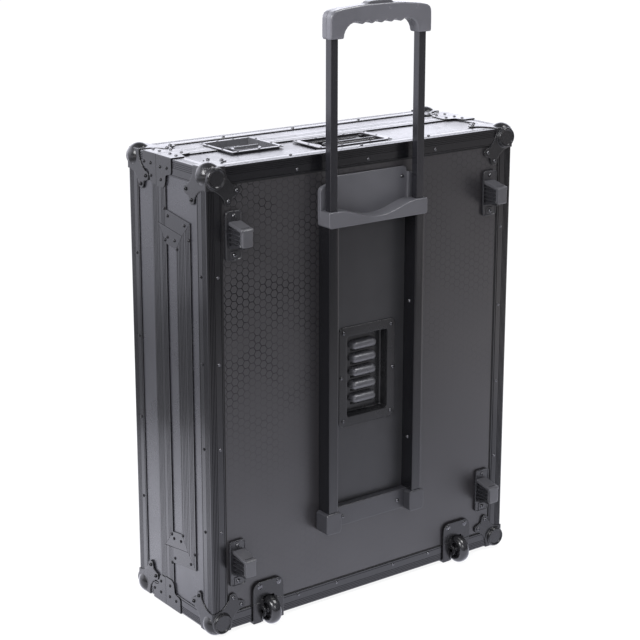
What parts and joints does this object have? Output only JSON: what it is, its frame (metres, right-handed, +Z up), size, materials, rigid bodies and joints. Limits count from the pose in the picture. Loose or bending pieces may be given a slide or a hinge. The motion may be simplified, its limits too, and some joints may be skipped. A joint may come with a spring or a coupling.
{
  "type": "wheeled flight case",
  "caption": "Road case with a lift-off lid, removable access panel, butterfly latches, ball corners, sunk caster wheels and a telescopic trolley handle",
  "frame": {"origin": "on the floor that the case stands on, below the middle of its bounding box, which includes the raised trolley handle", "axes": "+Z up along the trolley, X across the case, -Y out of the back face with the trolley and the rubber feet, +Y out of the lid"},
  "size_m": [0.663, 0.286, 1.0548],
  "materials": {
    "laminate": "plywood faced with black laminate embossed with a fine hexagon pattern",
    "profile": "black anodised aluminium profile, satin",
    "pressed_steel": "black powder-coated pressed steel, semi-gloss",
    "foot_rubber": "dark grey moulded rubber, matte",
    "tyre": "dark moulded polyurethane, satin",
    "grey_plastic": "mid-grey moulded plastic, lightly textured",
    "button_plastic": "black moulded plastic",
    "liner_foam": "black closed-cell foam"
  },
  "bodies": {
    "base": {"base_back_panel": "laminate", "base_wall_access_side": "laminate", "base_wall_front": "laminate", "base_wall_top": "laminate", "base_wall_bottom": "laminate", "base_edge_frame": "profile", "base_closing_frame": "profile", "base_ball_corner_left_bottom": "pressed_steel", "base_ball_corner_left_top": "pressed_steel", "base_ball_corner_right_bottom": "pressed_steel", "base_ball_corner_right_top": "pressed_steel", "rubber_foot_left_low": "foot_rubber", "rubber_foot_left_high": "foot_rubber", "rubber_foot_right_low": "foot_rubber", "rubber_foot_right_high": "foot_rubber", "vent_dish": "pressed_steel", "trolley_rail_left": "profile", "trolley_rail_right": "profile", "trolley_backing_plate": "profile", "trolley_upper_bracket": "grey_plastic", "trolley_lower_bracket": "grey_plastic", "caster_bracket_left": "pressed_steel", "caster_bracket_right": "pressed_steel", "base_foam": "liner_foam", "latch_top_dish": "pressed_steel", "latch_bottom_dish": "pressed_steel", "latch_front_low_dish": "pressed_steel", "latch_front_high_dish": "pressed_steel", "handle_dish": "pressed_steel"},
    "lid": {"lid_panel": "laminate", "lid_walls": "laminate", "lid_edge_frame": "profile", "lid_closing_frame": "profile", "lid_ball_corner_left_bottom": "pressed_steel", "lid_ball_corner_left_top": "pressed_steel", "lid_ball_corner_right_bottom": "pressed_steel", "lid_ball_corner_right_top": "pressed_steel", "lid_foam": "liner_foam", "latch_top_strike": "pressed_steel", "latch_bottom_strike": "pressed_steel", "latch_front_low_strike": "pressed_steel", "latch_front_high_strike": "pressed_steel"},
    "access_panel": {"access_panel_board": "laminate", "access_panel_frame": "profile"},
    "trolley": {"trolley_tube_left": "profile", "trolley_tube_right": "profile", "trolley_grip": "grey_plastic"},
    "button": {"release_button": "button_plastic"},
    "wheel_left": {"caster_wheel_left": "tyre"},
    "wheel_right": {"caster_wheel_right": "tyre"},
    "top_wing": {"latch_top_wing": "pressed_steel"},
    "bottom_wing": {"latch_bottom_wing": "pressed_steel"},
    "front_low_wing": {"latch_front_low_wing": "pressed_steel"},
    "front_high_wing": {"latch_front_high_wing": "pressed_steel"},
    "top_hook": {"latch_top_hook": "pressed_steel"},
    "bottom_hook": {"latch_bottom_hook": "pressed_steel"},
    "front_low_hook": {"latch_front_low_hook": "pressed_steel"},
    "front_high_hook": {"latch_front_high_hook": "pressed_steel"},
    "bail": {"handle_bail": "pressed_steel"}
  },
  "joints": [
    {"name": "lid_lift_off", "type": "slide", "parent": "base", "child": "lid", "axis": [0, 1, 0], "range_m": [0, 0.16]},
    {"name": "access_panel_slide", "type": "slide", "parent": "base", "child": "access_panel", "axis": [0, 1, 0], "range_m": [0, 0.08]},
    {"name": "trolley_slide", "type": "slide", "parent": "base", "child": "trolley", "axis": [0, 0, 1], "range_m": [-0.28, 0]},
    {"name": "button_press", "type": "slide", "parent": "trolley", "child": "button", "axis": [0, 0, -1], "range_m": [0, 0.004], "stiffness_N_per_m": 400, "springref_m": -0.001},
    {"name": "wheel_left_spin", "type": "hinge", "parent": "base", "child": "wheel_left", "pos_m": [-0.2123, -0.1114, 0.0254], "axis": [1, 0, 0], "continuous": true},
    {"name": "wheel_right_spin", "type": "hinge", "parent": "base", "child": "wheel_right", "pos_m": [0.2123, -0.1114, 0.0254], "axis": [1, 0, 0], "continuous": true},
    {"name": "latch_top_turn", "type": "hinge", "parent": "base", "child": "top_wing", "pos_m": [-0.1675, 0.015, 0.8075], "axis": [0, 0, 1], "range_deg": [0, 180]},
    {"name": "latch_bottom_turn", "type": "hinge", "parent": "base", "child": "bottom_wing", "pos_m": [-0.1675, 0.015, 0.0075], "axis": [0, 0, -1], "range_deg": [0, 180]},
    {"name": "latch_front_low_turn", "type": "hinge", "parent": "base", "child": "front_low_wing", "pos_m": [0.324, 0.015, 0.2175], "axis": [1, 0, 0], "range_deg": [0, 180]},
    {"name": "latch_front_high_turn", "type": "hinge", "parent": "base", "child": "front_high_wing", "pos_m": [0.324, 0.015, 0.5975], "axis": [1, 0, 0], "range_deg": [0, 180]},
    {"name": "latch_top_hook_slide", "type": "slide", "parent": "base", "child": "top_hook", "axis": [0, 1, 0], "range_m": [0, 0.003]},
    {"name": "latch_bottom_hook_slide", "type": "slide", "parent": "base", "child": "bottom_hook", "axis": [0, 1, 0], "range_m": [0, 0.003]},
    {"name": "latch_front_low_hook_slide", "type": "slide", "parent": "base", "child": "front_low_hook", "axis": [0, 1, 0], "range_m": [0, 0.003]},
    {"name": "latch_front_high_hook_slide", "type": "slide", "parent": "base", "child": "front_high_hook", "axis": [0, 1, 0], "range_m": [0, 0.003]},
    {"name": "handle_fold", "type": "hinge", "parent": "base", "child": "bail", "pos_m": [0, -0.0005, 0.8015], "axis": [-1, 0, 0], "range_deg": [0, 90], "stiffness_Nm_per_rad": 0.2, "springref_deg": -17.19}
  ],
  "couplings": [
    {"joint": "access_panel_slide", "follows": "lid_lift_off", "ratio": 0.5},
    {"joint": "latch_top_hook_slide", "follows": "latch_top_turn", "m_per_rad": 0.00095},
    {"joint": "latch_bottom_hook_slide", "follows": "latch_bottom_turn", "m_per_rad": 0.00095},
    {"joint": "latch_front_low_hook_slide", "follows": "latch_front_low_turn", "m_per_rad": 0.00095},
    {"joint": "latch_front_high_hook_slide", "follows": "latch_front_high_turn", "m_per_rad": 0.00095}
  ]
}
